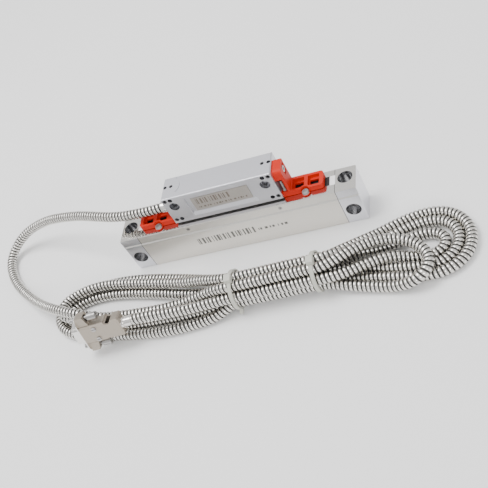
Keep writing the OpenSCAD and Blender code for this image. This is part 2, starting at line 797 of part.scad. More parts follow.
module bracket_washers() {
    color("gainsboro") clamp_places() difference() {
        cylinder(h = washer_t, r = washer_r);
        translate([0, 0, -1]) cylinder(h = 3, r = clamp_r + fit);
    }
}

module bracket_head_screw() {
    x = head_x1 + upright_t - bracket_seat_depth;
    color("silver") difference() {
        union() {
            rod_x([head_x1 - bracket_screw_depth, bracket_screw_y, bracket_screw_z],
                x - head_x1 + bracket_screw_depth + 0.1, bracket_screw_r);
            rod_x([x, bracket_screw_y, bracket_screw_z], bracket_seat_depth - 0.2, 2.5);
        }
        rod_x([x + 0.6, bracket_screw_y, bracket_screw_z], 3, 1.2, $fn = 6);
    }
}

// Lock screw in the upright's pocket, with a long slim grip
module bracket_lock_screw() {
    color("silver") translate([head_x1 + lock_x, foot_y0 + lock_y, foot_z0]) union() {
        cylinder(h = upright_pocket_z0 - foot_z0 + 0.1, r = lock_r);
        translate([0, 0, upright_pocket_z0 - foot_z0]) cylinder(h = lock_head_h, r = lock_head_r);
        translate([0, 0, upright_pocket_z0 - foot_z0]) cylinder(h = lock_grip_h, r = lock_grip_r);
    }
}

module cable_gland() {
    color("silver") translate([head_x0 - gland_l, gland_y, gland_z]) rotate([0, 90, 0]) rotate_extrude()
        polygon([[0, 0], [gland_r - 0.5, 0], [gland_r, 0.5], [gland_r, 5], [gland_r - 0.5, 5.4],
            [gland_r - 0.5, 6], [gland_r, 6.4], [gland_r, gland_l], [gland_tube_r, gland_l], [gland_tube_r, gland_l + 6], [0, gland_l + 6]]);
}

// Cable
module cable_run() color("lightgray") tube(run_points, hose_d);
module cable_end() color("lightgray") tube(end_points, hose_d);

// One disc of an outline, as high as the strands lie there
module stack(x, y, r, h) translate([x, y, 0]) cylinder(h = h, r = r, $fn = 32);

// Folds to the left of the bundle: the outline of the lowest strands
module fold_outline() hull() {
    stack(-147, -49, 18.5, layer_1);
    stack(-116, -51, 28, layer_1);
    stack(-64, -58.5, 29.3, layer_1);
    stack(-6, -65, 16, layer_1);
}

module cable_hank() {
    color("silver") union() {
        intersection() {
            translate([tie_left.x, tie_left.y, bundle_z]) rotate([0, 0, bundle_turn])
                rod_x([hank_split - 10, 0, 0], bundle_x1 - hank_split, bundle_r);
            box([hank_split, -150, 0], [bundle_x1, 0, 60]);
        }
        intersection() {
            fold_outline();
            box([hank_split, -150, 0], [tie_left.x - tie_side, 0, 60]);
        }
        // Loops to the right of the bundle
        intersection() {
            hull() {
                stack(70, -62, 12, loops_z1);
                stack(112, -44, 17, loops_z1);
                stack(141, -40, 21.5, loops_z1);
                stack(150, -54, 22, loops_z1);
                stack(126, -71, 16, loops_z1);
                stack(90, -73, 8, loops_z1);
            }
            box([tie_right.x + tie_side, -150, 0], [200, 0, 60]);
        }
    }
}

module cable_left_loops() {
    color("silver") union() {
        intersection() {
            union() {
                fold_outline();
                hull() {
                    stack(-146, -49, 13.5, layer_2);
                    stack(-116, -47, 18, layer_2);
                    stack(-70, -50, 16, layer_2);
                    stack(-30, -60, 13, layer_2);
                }
            }
            box([-200, -150, 0], [hank_split, 0, 60]);
        }
        // The strand that crosses over the folds
        hull() {
            stack(-154, -52.5, 4.2, layer_3);
            stack(-118, -65, 4.2, layer_3);
        }
    }
}

// A tie: a closed strap round the bundle and its lock head; the left one also has its cut tail
module tie(at, tail) {
    color("whitesmoke") translate([at.x, at.y, bundle_z]) difference() {
        union() {
            rod_x([-tie_w / 2, 0, 0], tie_w, bundle_r + tie_gap + tie_t);
            rotate([tie_head_turn, 0, 0]) translate([-tie_head.x / 2, -tie_head.y / 2, bundle_r])
                cube([tie_head.x, tie_head.y, tie_gap + tie_head.z]);
            if (tail) rotate([tie_tail_turn, 0, 0]) translate([-tie_tail.x / 2, -tie_tail.y / 2, bundle_r])
                cube([tie_tail.x, tie_tail.y, tie_gap + tie_t + tie_tail.z]);
        }
        rod_x([-tie_head.x, 0, 0], 2 * tie_head.x, bundle_r + tie_gap);
    }
}

module cable_tie_left() tie(tie_left, true);
module cable_tie_right() tie(tie_right, false);

// Plug. Its own axes: X along the cable towards the ferrule, Z across the ears.
module on_plug() translate(plug_at) rotate([0, 0, plug_turn]) rotate([-plug_lean, 0, 0]) children();

module hood_half(s) {
    z = hood_w / 2;
    x0 = -hood_l / 2 + flange_t;
    x1 = hood_l / 2;
    mirror([0, s > 0 ? 1 : 0, 0]) difference() {
        translate([0, -split, 0]) rotate([90, 0, 0]) linear_extrude(hood_t / 2 - split)
            difference() {
                polygon([[x0, -z], [x1 - 1, -z], [x1, -z + 1], [x1, z - 1], [x1 - 1, z], [x0, z]]);
                // Half-round notch in the upper edge and a small square one in the lower edge
                translate([hood_notch_x, z + 1]) circle(hood_notch_r);
                translate([hood_slot_x[0], -z - 1]) square([hood_slot_x[1] - hood_slot_x[0], hood_slot_depth + 1]);
            }
        // Hollow, cable entry and hood screws
        box([x0 - 1, -hood_t / 2 + hood_wall, -z + hood_wall], [x1 - hood_nose, 1, z - hood_wall]);
        rod_x([0, 0, 0], hood_l, ferrule_r + run);
        for (k = [-1, 1]) rod_y([hood_screw_x, -hood_t, k * (z - hood_screw_in)], 2 * hood_t, hood_screw_r + run);
        // Sloped edges of the outer face
        for (k = [-1, 1]) translate([0, -hood_t / 2, k * z]) rotate([45, 0, 0])
            cube([2 * hood_l, hood_bevel, hood_bevel], center = true);
        translate([x1, -hood_t / 2, 0]) rotate([0, 0, 45]) cube([hood_bevel, hood_bevel, 2 * hood_w], center = true);
    }
    // Ears beside the hood, which carry the thumbscrews
    for (k = [-1, 1]) difference() {
        mirror([0, s > 0 ? 1 : 0, 0]) translate([0, -split, 0]) rotate([90, 0, 0]) linear_extrude(ear_half_t - split)
            polygon([[x0, k * (z - 1)], [x0 + ear_l, k * (z - 1)], [x0 + ear_l - 2.5, k * (z + ear_side)], [x0, k * (z + ear_side)]]);
        rod_x([-hood_l, 0, k * screw_pitch / 2], 2 * hood_l, thumb_r + thumb_gap);
        rod_x([x0 + 2, 0, k * screw_pitch / 2], hood_l, thumb_r + 0.8);
    }
}

module plug_hood_front() color("tan") on_plug() hood_half(-1);
module plug_hood_back() color("tan") on_plug() hood_half(1);

module d_shape(w, t) {
    r = 2.2;
    a = w / 2;
    b = t / 2;
    polygon(concat(arc([b - r, a - r], r, 0, 80, 4), arc([-b + r, a - r - 1], r, 80, 180, 4),
        arc([-b + r, -a + r + 1], r, 180, 280, 4), arc([b - r, -a + r], r, 280, 360, 4)));
}

module along_shell(x0, l) translate([x0, 0, 0]) rotate([0, 90, 0]) rotate([0, 0, 90]) linear_extrude(l) children();

module plug_flange() {
    x0 = -hood_l / 2;
    color("silver") on_plug() difference() {
        union() {
            // Flange with round ends
            translate([x0, 0, 0]) rotate([0, 90, 0]) linear_extrude(flange_t) intersection() {
                square([ear_w, flange_w], center = true);
                union() {
                    square([ear_w - flange_w, flange_w], center = true);
                    for (k = [-1, 1]) translate([k * (ear_w - flange_w) / 2, 0]) circle(flange_w / 2);
                }
            }
            along_shell(x0 - shell_l, shell_l + 0.1) d_shape(shell_w, shell_t);
        }
        along_shell(x0 - shell_l - 1, shell_l + 3) d_shape(shell_w - 2 * shell_wall, shell_t - 2 * shell_wall);
        for (k = [-1, 1]) rod_x([x0 - 1, 0, k * screw_pitch / 2], 3, thumb_r + thumb_gap);
    }
}

module plug_insert() {
    x0 = -hood_l / 2;
    z = hood_w / 2 - hood_wall - insert_gap;
    color("black") on_plug() difference() {
        union() {
            along_shell(x0 - shell_l + insert_back, shell_l + flange_t - insert_back - run)
                d_shape(shell_w - 2 * shell_wall - fit, shell_t - 2 * shell_wall - fit);
            box([x0, -insert_t / 2, -z], [x0 + flange_t + insert_l, insert_t / 2, z]);
        }
        for (i = [-2:2]) rod_x([x0 - shell_l, -contact_row, i * contact_pitch], 5, contact_r);
        for (i = [-1.5:1.5]) rod_x([x0 - shell_l, contact_row, i * contact_pitch], 5, contact_r);
    }
}

module thumbscrew(k) {
    x0 = -hood_l / 2 + flange_t;
    head_x = x0 + ear_l + 0.5;
    color("silver") on_plug() translate([0, 0, k * screw_pitch / 2]) difference() {
        union() {
            rod_x([x0 - thumb_reach, 0, 0], thumb_reach + ear_l + 1, thumb_r);
            rod_x([head_x, 0, 0], thumb_head_l, thumb_head_r);
        }
        box([head_x + thumb_head_l - 1.2, -0.4, -4], [head_x + thumb_head_l + 1, 0.4, 4]);
    }
}

module plug_thumbscrew_upper() thumbscrew(1);
module plug_thumbscrew_lower() thumbscrew(-1);

module plug_ferrule() {
    color("silver") on_plug() difference() {
        union() {
            rod_x([hood_l / 2 - ferrule_seat, 0, 0], ferrule_l + ferrule_seat, ferrule_r);
            rod_x([hood_l / 2, 0, 0], 1.6, ferrule_r + 0.7);
        }
        rod_x([hood_l / 2 - ferrule_seat - 1, 0, 0], ferrule_l, ferrule_r - 1.3);
    }
}

module plug_hood_screws() {
    color("silver") on_plug() for (k = [-1, 1]) translate([hood_screw_x, 0, k * (hood_w / 2 - hood_screw_in)]) difference() {
        union() {
            rod_y([0, -hood_t / 2, 0], hood_t, hood_screw_r);
            rod_y([0, -hood_t / 2 - 0.8, 0], 0.8, 1.9);
        }
        box([-3, -hood_t / 2 - 2, -0.3], [3, -hood_t / 2 - 0.4, 0.3]);
    }
}

profile();
cap_right();
cap_left();
cap_gaskets();
cap_screws();
glass_scale();
glass_bead();
lip_front();
lip_back();
seal_clamps();
slot_end_blocks();
band_screws();
head_housing();
head_base();
head_base_screws();
head_front_screws();
head_top_screws();
label_plate();
head_circuit_board();
reader_blade();
coupling_spring();
carriage();
bearing_pins();
face_bearing_left();
face_bearing_right();
face_bearing_upper();
edge_bearing_left();
edge_bearing_right();
lamp();
reticle();
sensor_board();
bracket_right();
bracket_left();
bracket_clamp_screws();
bracket_washers();
bracket_head_screw();
bracket_lock_screw();
cable_gland();
cable_run();
cable_hank();
cable_left_loops();
cable_end();
cable_tie_left();
cable_tie_right();
plug_hood_front();
plug_hood_back();
plug_flange();
plug_insert();
plug_thumbscrew_upper();
plug_thumbscrew_lower();
plug_ferrule();
plug_hood_screws();
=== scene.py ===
import json
import math

import bmesh
import bpy
import numpy as np
from mathutils import Matrix, Vector


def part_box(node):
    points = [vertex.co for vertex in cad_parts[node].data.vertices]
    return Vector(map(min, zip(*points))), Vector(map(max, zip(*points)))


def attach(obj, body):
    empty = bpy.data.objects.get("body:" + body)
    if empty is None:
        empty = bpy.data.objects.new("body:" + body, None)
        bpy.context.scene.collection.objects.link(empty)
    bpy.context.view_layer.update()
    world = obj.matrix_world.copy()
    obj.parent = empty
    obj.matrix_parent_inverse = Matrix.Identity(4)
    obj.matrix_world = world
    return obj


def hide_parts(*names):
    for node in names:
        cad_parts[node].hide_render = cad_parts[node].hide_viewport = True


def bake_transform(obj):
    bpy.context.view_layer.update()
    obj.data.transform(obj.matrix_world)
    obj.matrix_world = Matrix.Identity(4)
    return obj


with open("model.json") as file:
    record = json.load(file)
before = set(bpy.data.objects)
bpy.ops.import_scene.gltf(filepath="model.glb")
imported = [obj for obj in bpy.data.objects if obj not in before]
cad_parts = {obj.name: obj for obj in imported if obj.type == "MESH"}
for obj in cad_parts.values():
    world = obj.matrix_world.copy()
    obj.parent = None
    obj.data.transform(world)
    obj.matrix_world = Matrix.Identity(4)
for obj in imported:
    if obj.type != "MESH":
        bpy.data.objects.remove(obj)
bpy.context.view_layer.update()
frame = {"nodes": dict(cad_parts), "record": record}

NODES = frame["nodes"]
MM = 0.001

# Camera: fitted to the photograph, in metres, turned on its own axis as the photograph is
CAMERA_AT = (0.23701, -0.44146, 0.45447)
CAMERA_RIGHT = (0.9113, 0.0862, -0.4026)
CAMERA_UP = (0.2004, 0.7613, 0.6167)
CAMERA_LENS = 64.48


def make_camera():
    data = bpy.data.cameras.new("camera")
    data.lens = CAMERA_LENS
    data.sensor_width = 36
    data.clip_start = 0.01
    data.clip_end = 10
    camera = bpy.data.objects.new("camera", data)
    bpy.context.scene.collection.objects.link(camera)
    right = Vector(CAMERA_RIGHT).normalized()
    back = right.cross(Vector(CAMERA_UP)).normalized()
    up = back.cross(right)
    turn = Matrix((right, up, back)).transposed()
    camera.matrix_world = Matrix.Translation(CAMERA_AT) @ turn.to_4x4()
    bpy.context.scene.camera = camera


# Cable: the route in millimetres, from the gland to the plug's ferrule
HOSE_R = 4.0
HOSE_PITCH = 3.1
HOSE_SIDES = 14
# The wound strip's profile: part of the pitch, and radius
HOSE_PROFILE = [(0.0, 3.85), (0.14, 4.1), (0.5, 4.1), (0.64, 3.85), (0.71, 3.1), (0.93, 3.1)]
FREE_ARC = [(-54, 3, 45.5), (-66, 2.6, 45.4), (-78, 3.5, 45), (-90, 5.3, 44.2), (-103, 9, 43.2),
            (-116, 14.3, 41.8), (-128, 19.8, 40.1), (-142, 26, 37.8), (-156, 31, 35.2), (-170, 36, 32),
            (-184, 40.2, 28), (-197, 43, 23), (-208, 43.8, 19), (-217, 43, 14.5), (-225, 40, 10.5),
            (-229.5, 35.5, 7.3), (-231.5, 28.5, 5.2), (-230, 20, 4.4), (-226.5, 12.5, 4.2), (-221, 3, 4.2),
            (-212, -8, 4.6), (-203, -16.5, 5.6), (-194, -24.5, 7.4), (-185, -32, 9.8), (-175, -39.8, 13)]
OVER_FOLDS = [(-165.5, -46.5, 16.3), (-156.3, -52.5, 19.3), (-149, -56.3, 20.4), (-142.5, -59.2, 20.6),
              (-135, -62.5, 20.8), (-127.6, -65, 20.5), (-121, -66, 18), (-112, -66.3, 13.5), (-98, -66.3, 11.6),
              (-81, -67, 11.2), (-61.5, -67.5, 11.2), (-46, -67, 12), (-30, -66.3, 14.8), (-14, -67.5, 20.5)]
LOOP_FRONT = [(78, -63.5, 23), (90, -57, 22), (102, -52, 20), (114, -49.5, 17), (124, -51, 15), (133.5, -57, 13),
              (140, -66, 12.5), (141, -74, 12), (137, -80, 10.5), (128, -83, 8), (115, -81.5, 4.5),
              (97, -77, 4.5), (79, -73.5, 7)]
LOOP_OUTER = [(78, -48, 13), (92, -39.5, 7.5), (104, -32, 4.2), (118, -26, 4.2), (132, -22.3, 4.2),
              (146, -22.3, 4.2), (158, -28, 4.2), (166, -39.5, 4.2), (168, -52, 4.2), (165, -63.5, 4.2),
              (157, -72.5, 4.2), (145, -77, 4.2), (130, -76.5, 4.2), (112, -73, 4.2), (94, -69, 4.2), (78, -66, 4.6)]
LOOP_SECOND = [(78, -51.5, 6), (92, -46, 4.2), (104, -40.3, 4.2), (118, -34.3, 4.2), (132, -30.5, 4.2),
              (145, -30.3, 4.2), (154, -34.8, 4.2), (159.3, -43, 4.2), (160, -52.5, 4.2), (157, -61, 4.2),
              (151, -67, 4.2), (142, -69.5, 4.2), (130, -68.7, 4.2), (112, -65, 4.2), (94, -61.5, 6), (78, -63, 11)]
LOOP_INNER = [(78, -56.5, 20.5), (92, -53.5, 14), (106, -48.5, 7.5), (120, -43.5, 4.2), (133, -40.5, 4.2), (143, -40.7, 4.2),
              (150, -45, 4.2), (152.2, -52, 4.2), (149, -58.5, 4.2), (141, -61.3, 4.2), (129, -60.8, 4.8),
              (116, -60, 9), (102, -63.5, 13), (88, -69, 15), (77, -72, 16)]
FOLD_OUTER = [(-14, -78, 5.5), (-30, -81, 4.2), (-48, -83, 4.2), (-64, -83, 4.2), (-87, -80.5, 4.2),
              (-102, -78, 4.2), (-116, -75.5, 4.2), (-128, -73.5, 4.2), (-139, -70, 4.2), (-150, -64.5, 4.2),
              (-158, -57, 4.2), (-161.5, -49.5, 4.2), (-158, -42.5, 4.2), (-150, -36, 4.2), (-135, -29, 4.2),
              (-118, -25.5, 4.2), (-96, -26.5, 4.2), (-70, -31.5, 4.2), (-48, -38, 5.5), (-30, -45.5, 9),
              (-14, -52.5, 13.5)]
FOLD_MIDDLE = [(-14, -70, 4.3), (-30, -72, 4.2), (-48, -72.8, 4.2), (-64, -72.8, 4.2), (-87, -71.8, 4.2),
               (-104, -70, 4.2), (-118, -67.8, 4.2), (-130, -65.5, 4.2), (-141, -62.5, 4.2), (-149, -57.5, 4.2),
               (-152.5, -50.5, 4.2), (-149.5, -43.5, 4.2), (-141, -39, 4.2), (-130, -37.3, 4.2),
               (-118, -36.8, 4.2), (-96, -40, 4.2), (-70, -46, 4.2), (-48, -51.5, 4.2), (-30, -55.5, 5),
               (-14, -57.5, 7)]
FOLD_INNER = [(-14, -65.5, 12), (-30, -64.5, 6.5), (-48, -64, 4.4), (-64, -64, 4.2), (-87, -63.5, 4.2),
              (-104, -62, 4.6), (-118, -62, 8), (-134, -62, 12), (-146, -59.5, 12), (-154, -53, 12),
              (-154, -45, 12), (-147, -38.5, 12), (-134, -34, 12), (-118, -32, 11.5), (-96, -35, 10.6),
              (-70, -40.5, 10.5), (-48, -46.5, 12), (-30, -52, 16.5), (-14, -58, 20.5)]
TO_PLUG = [(-14, -75.3, 16.8), (-32, -77.5, 17.5), (-48, -79.3, 19.5), (-62, -80, 21.4), (-71, -80.4, 22),
           (-77.9, -80.7, 22)]
TIE_LEFT = (1.5, -65.5)
TIE_RIGHT = (62.5, -64)
TIE_X = (-5, 0, 5)
BUNDLE_Z = 14.7
BUNDLE_RING = 9.25
RING_AT = {"bottom": 270, "back_low": 321.4, "back": 12.9, "back_top": 64.3, "front_top": 115.7,
           "front": 167.1, "front_low": 218.6}


def through(place, back=False):
    """Points of one strand through both ties; the strands lie in a ring round a middle one."""
    y, z = 0.0, 0.0
    if place in RING_AT:
        angle = math.radians(RING_AT[place])
        y, z = BUNDLE_RING * math.cos(angle), BUNDLE_RING * math.sin(angle)
    points = [(TIE_LEFT[0] + dx, TIE_LEFT[1] + y, BUNDLE_Z + z) for dx in TIE_X]
    points += [((TIE_LEFT[0] + TIE_RIGHT[0]) / 2, (TIE_LEFT[1] + TIE_RIGHT[1]) / 2 + y, BUNDLE_Z + z)]
    points += [(TIE_RIGHT[0] + dx, TIE_RIGHT[1] + y, BUNDLE_Z + z) for dx in TIE_X]
    return points[::-1] if back else points


def route():
    points = FREE_ARC + OVER_FOLDS
    points += through("front_top") + LOOP_FRONT + through("front_low", True) + FOLD_OUTER
    points += through("back") + LOOP_OUTER + through("bottom", True) + FOLD_MIDDLE
    points += through("back_low") + LOOP_SECOND + through("middle", True) + FOLD_INNER
    points += through("back_top") + LOOP_INNER + through("front", True) + TO_PLUG
    return np.array(points, float)


def spline(p, step):
    """A centripetal spline through the points, sampled every step."""
    fine = []
    p = np.vstack([2 * p[0] - p[1], p, 2 * p[-1] - p[-2]])
    for a, b, c, d in zip(p[:-3], p[1:-2], p[2:-1], p[3:]):
        t0 = 0.0
        t1 = t0 + np.linalg.norm(b - a) ** 0.5
        t2 = t1 + np.linalg.norm(c - b) ** 0.5
        t3 = t2 + np.linalg.norm(d - c) ** 0.5
        t = np.linspace(t1, t2, 24, endpoint=False)[:, None]
        ab = (t1 - t) / (t1 - t0) * a + (t - t0) / (t1 - t0) * b
        bc = (t2 - t) / (t2 - t1) * b + (t - t1) / (t2 - t1) * c
        cd = (t3 - t) / (t3 - t2) * c + (t - t2) / (t3 - t2) * d
        abc = (t2 - t) / (t2 - t0) * ab + (t - t0) / (t2 - t0) * bc
        bcd = (t3 - t) / (t3 - t1) * bc + (t - t1) / (t3 - t1) * cd
        fine.append((t2 - t) / (t2 - t1) * abc + (t - t1) / (t2 - t1) * bcd)
    fine = np.vstack(fine + [p[-2][None]])
    return spaced(fine, step)


def spaced(line, step):
    run = np.concatenate([[0], np.cumsum(np.linalg.norm(np.diff(line, axis=0), axis=1))])
    s = np.linspace(0, run[-1], int(round(run[-1] / step)) + 1)
    return np.stack([np.interp(s, run, line[:, k]) for k in range(3)], axis=1)


def settle(p, rounds=160):
    """Pushes strands that lie in each other a diameter apart and lets them rest on the floor."""
    start = p.copy()
    n = len(p)
    held = np.zeros(n, bool)
    held[:26] = True
    held[-6:] = True
    for at in (TIE_LEFT, TIE_RIGHT):
        held |= (np.abs(p[:, 0] - at[0]) < 4.5) & (p[:, 1] < -30)
    i, j = np.triu_indices(n, 5)
    for _ in range(rounds):
        p[1:-1] += 0.12 * (0.5 * (p[:-2] + p[2:]) - p[1:-1])
        p += 0.03 * (start - p)
        d = p[i] - p[j]
        near = np.flatnonzero((np.abs(d) < 2 * HOSE_R).all(axis=1))
        d = d[near]
        far = np.linalg.norm(d, axis=1)
        hit = near[far < 2 * HOSE_R]
        d, far = d[far < 2 * HOSE_R], far[far < 2 * HOSE_R]
        push = 0.35 * (2 * HOSE_R + 0.05 - far)[:, None] * d / np.maximum(far, 0.01)[:, None]
        np.add.at(p, i[hit], push)
        np.add.at(p, j[hit], -push)
        p[:, 2] = np.maximum(p[:, 2], HOSE_R + 0.1)
        p[held] = start[held]
    return p


def eased(line, rounds=24):
    """Rounds off the small corners that the spacing and the settling leave."""
    for _ in range(rounds):
        line[1:-1] += 0.5 * (0.5 * (line[:-2] + line[2:]) - line[1:-1])
    return line


def frames(line):
    """Two directions across the line at each of its points, carried along it without twist."""
    t = np.gradient(line, axis=0)
    t /= np.linalg.norm(t, axis=1)[:, None]
    u = np.zeros_like(t)
    u[0] = np.cross(t[0], (0, 0, 1))
    u[0] /= np.linalg.norm(u[0])
    for k in range(1, len(t)):
        u[k] = u[k - 1] - t[k] * (u[k - 1] @ t[k])
        u[k] /= np.linalg.norm(u[k])
    return u, np.cross(t, u)


def mesh_object(name, vertices, faces, smooth=True):
    mesh = bpy.data.meshes.new(name)
    mesh.from_pydata([], [], [])
    vertices, faces = np.asarray(vertices, np.float32), np.asarray(faces, np.int32)
    mesh.vertices.add(len(vertices))
    mesh.vertices.foreach_set("co", vertices.ravel())
    mesh.loops.add(faces.size)
    mesh.loops.foreach_set("vertex_index", faces.ravel())
    mesh.polygons.add(len(faces))
    mesh.polygons.foreach_set("loop_start", np.arange(0, faces.size, faces.shape[1], dtype=np.int32))
    mesh.polygons.foreach_set("loop_total", np.full(len(faces), faces.shape[1], np.int32))
    mesh.update(calc_edges=True)
    mesh.validate()
    if smooth:
        mesh.polygons.foreach_set("use_smooth", np.ones(len(mesh.polygons), bool))
    piece = bpy.data.objects.new(name, mesh)
    bpy.context.scene.collection.objects.link(piece)
    return piece


def armoured_hose(name, line):
    """A wound hose: one strip that runs round the line as a screw; its grooves get the second material, a near-black
    painted shade.
    """
    rows = len(HOSE_PROFILE)
    run = np.concatenate([[0], np.cumsum(np.linalg.norm(np.diff(line, axis=0), axis=1))])
    u, v = frames(line)
    count = HOSE_SIDES * int(run[-1] / HOSE_PITCH + 2)
    k = np.arange(count)
    s = HOSE_PITCH * (k[:, None] / HOSE_SIDES - 1 + np.array([a for a, _ in HOSE_PROFILE])[None, :])
    s = np.clip(s, 0, run[-1])
    angle = 2 * math.pi * k / HOSE_SIDES
    at = np.stack([np.interp(s, run, line[:, c]) for c in range(3)], axis=-1)
    uu = np.stack([np.interp(s, run, u[:, c]) for c in range(3)], axis=-1)
    vv = np.stack([np.interp(s, run, v[:, c]) for c in range(3)], axis=-1)
    r = np.array([h for _, h in HOSE_PROFILE])[None, :, None]
    co = at + r * (np.cos(angle)[:, None, None] * uu + np.sin(angle)[:, None, None] * vv)
    index = k[:, None] * rows + np.arange(rows)[None, :]
    strip = np.stack([index[:-1, :-1], index[1:, :-1], index[1:, 1:], index[:-1, 1:]], axis=-1)
    # painted shade: the faces from the fourth profile row on, down in the groove, and the joins between turns get the
    # near-black second material
    dark = np.zeros(strip.shape[:2], np.int32)
    dark[:, 3:] = 1
    a = k[:count - HOSE_SIDES - 1]
    last = np.stack([index[a, -1], index[a + 1, -1], index[a + HOSE_SIDES + 1, 0], index[a + HOSE_SIDES, 0]], axis=-1)
    faces = np.vstack([strip.reshape(-1, 4), last])
    dark = np.concatenate([dark.ravel(), np.ones(len(last), np.int32)])
    reach = s.reshape(-1)[faces]
    kept = reach.max(axis=1) - reach.min(axis=1) > 1e-6
    piece = mesh_object(name, co.reshape(-1, 3) * MM, faces[kept])
    piece.data.materials.append(None)
    piece.data.materials.append(None)
    piece.data.polygons.foreach_set("material_index", dark[kept])
    return piece


make_camera()
LINE = spaced(eased(spaced(settle(spline(route(), 3.0)), 1.0)), 1.0)
hose = armoured_hose("armoured_cable", LINE)
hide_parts("cable_run", "cable_hank", "cable_left_loops", "cable_end")
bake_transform(hose)


# Generic marks: a row of thin bars, a little in front of a face that looks along -Y
def bars(name, x0, x1, y, z0, z1, step, body):
    corners, faces = [], []
    x, k = x0, 0
    while x < x1:
        wide = step * (0.3 + 0.7 * ((k * 7) % 5) / 4)
        corners += [(x, y, z0), (x + wide, y, z0), (x + wide, y, z1), (x, y, z1)]
        faces.append([4 * k, 4 * k + 1, 4 * k + 2, 4 * k + 3])
        x += wide + step * (0.35 + 0.85 * ((k * 5) % 7) / 6)
        k += 1
    piece = mesh_object(name, np.array(corners) * MM, faces, smooth=False)
    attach(piece, body)
    return piece


FRONT_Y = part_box("profile")[0][1] / MM
LABEL = [[c / MM for c in corner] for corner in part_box("label_plate")]
body_bars = bars("body_bars", -36, 12, FRONT_Y - 0.02, 12, 18.5, 1.7, "scale")
body_dots = bars("body_dots", 14, 38, FRONT_Y - 0.02, 13.5, 15.8, 2.2, "scale")
label_bars = bars("label_bars", LABEL[0][0] + 3, LABEL[0][0] + 30, LABEL[0][1] - 0.02, LABEL[0][2] + 6, LABEL[1][2] - 1.5, 1.5, "reader")
label_rows = bars("label_rows", LABEL[0][0] + 3, LABEL[1][0] - 3, LABEL[0][1] - 0.02, LABEL[0][2] + 2, LABEL[0][2] + 3.6, 1.7, "reader")


# Materials
def material(name, base, metallic=0.0, rough=0.4, grain=0.0, grain_scale=400.0, stretch=(1, 1, 1),
             rough_spread=0.08, tone=0.04, specular=0.5, transmission=0.0, alpha=1.0):
    m = bpy.data.materials.new(name)
    m.use_nodes = True
    tree = m.node_tree
    shader = tree.nodes["Principled BSDF"]
    shader.inputs["Metallic"].default_value = metallic
    shader.inputs["Specular IOR Level"].default_value = specular
    shader.inputs["Transmission Weight"].default_value = transmission
    shader.inputs["Alpha"].default_value = alpha
    place = tree.nodes.new("ShaderNodeTexCoord")
    mapping = tree.nodes.new("ShaderNodeMapping")
    mapping.inputs["Scale"].default_value = stretch
    noise = tree.nodes.new("ShaderNodeTexNoise")
    noise.inputs["Scale"].default_value = grain_scale
    noise.inputs["Detail"].default_value = 4
    tree.links.new(place.outputs["Object"], mapping.inputs["Vector"])
    tree.links.new(mapping.outputs["Vector"], noise.inputs["Vector"])
    ramp = tree.nodes.new("ShaderNodeMapRange")
    ramp.inputs["To Min"].default_value = max(0.02, rough - rough_spread)
    ramp.inputs["To Max"].default_value = rough + rough_spread
    tree.links.new(noise.outputs["Fac"], ramp.inputs["Value"])
    tree.links.new(ramp.outputs["Result"], shader.inputs["Roughness"])
    shade = tree.nodes.new("ShaderNodeMixRGB")
    shade.inputs["Color1"].default_value = (*[c * (1 - tone) for c in base], 1)
    shade.inputs["Color2"].default_value = (*[min(1, c * (1 + tone)) for c in base], 1)
    tree.links.new(noise.outputs["Fac"], shade.inputs["Fac"])
    tree.links.new(shade.outputs["Color"], shader.inputs["Base Color"])
    if grain:
        bump = tree.nodes.new("ShaderNodeBump")
        bump.inputs["Strength"].default_value = grain
        bump.inputs["Distance"].default_value = 0.0002
        tree.links.new(noise.outputs["Fac"], bump.inputs["Height"])
        tree.links.new(bump.outputs["Normal"], shader.inputs["Normal"])
    return m


LOOKS = {
    "body_aluminium": material("satin_anodised", (0.72, 0.69, 0.64), 0.8, 0.34, 0.05, 900, (0.05, 1, 1)),
    "cap_metal": material("bright_casting", (0.72, 0.72, 0.76), 0.95, 0.30, 0.0, 1500, rough_spread=0.02),
    "head_metal": material("blasted_casting", (0.62, 0.62, 0.66), 0.8, 0.36, 0.10, 1800),
    "steel": material("bright_steel", (0.78, 0.77, 0.76), 1.0, 0.16, 0.03, 1500),
    "scale_glass": material("clear_glass", (0.85, 0.95, 0.95), 0.0, 0.05, transmission=0.9, alpha=0.6),
    "black_rubber": material("matt_rubber", (0.012, 0.012, 0.012), 0.0, 0.6, 0.3, 1500),
    "white_plastic": material("white_moulding", (0.95, 0.95, 0.95), 0.0, 0.35, 0.1, 900),
    "label_metal": material("label_foil", (0.40, 0.37, 0.34), 0.5, 0.42, 0.1, 900, tone=0.12),
    "board_green": material("solder_mask", (0.02, 0.18, 0.07), 0.0, 0.25),
    "spring_bronze": material("spring_strip", (0.72, 0.52, 0.25), 1.0, 0.3),
    "black_plastic": material("black_moulding", (0.025, 0.025, 0.025), 0.0, 0.4, 0.1, 900),
    "lamp_resin": material("clear_resin", (0.85, 0.8, 0.55), 0.0, 0.15, transmission=0.6),
    "orange_plastic": material("orange_moulding", (0.56, 0.013, 0.0), 0.0, 0.5, 0.05, 900, specular=0.25),
    "bright_nickel": material("nickel_plate", (0.80, 0.78, 0.75), 1.0, 0.14, 0.05, 900),
    "hose_steel": material("wound_strip", (0.74, 0.72, 0.68), 1.0, 0.24, 0.06, 900),
    "tie_nylon": material("nylon", (0.50, 0.50, 0.44), 0.0, 0.42, 0.08, 900),
    "plug_nickel": material("champagne_nickel", (0.38, 0.335, 0.28), 0.75, 0.36, 0.08, 1100),
}
# Painted shade: a near-black colour for the hose's grooves, the shaded gaps between the turns of the wound strip.
GROOVE_SHADE_LOOK = material("hose_groove_painted_shade", (0.035, 0.033, 0.03), 0.2, 0.5, 0.06, 900)
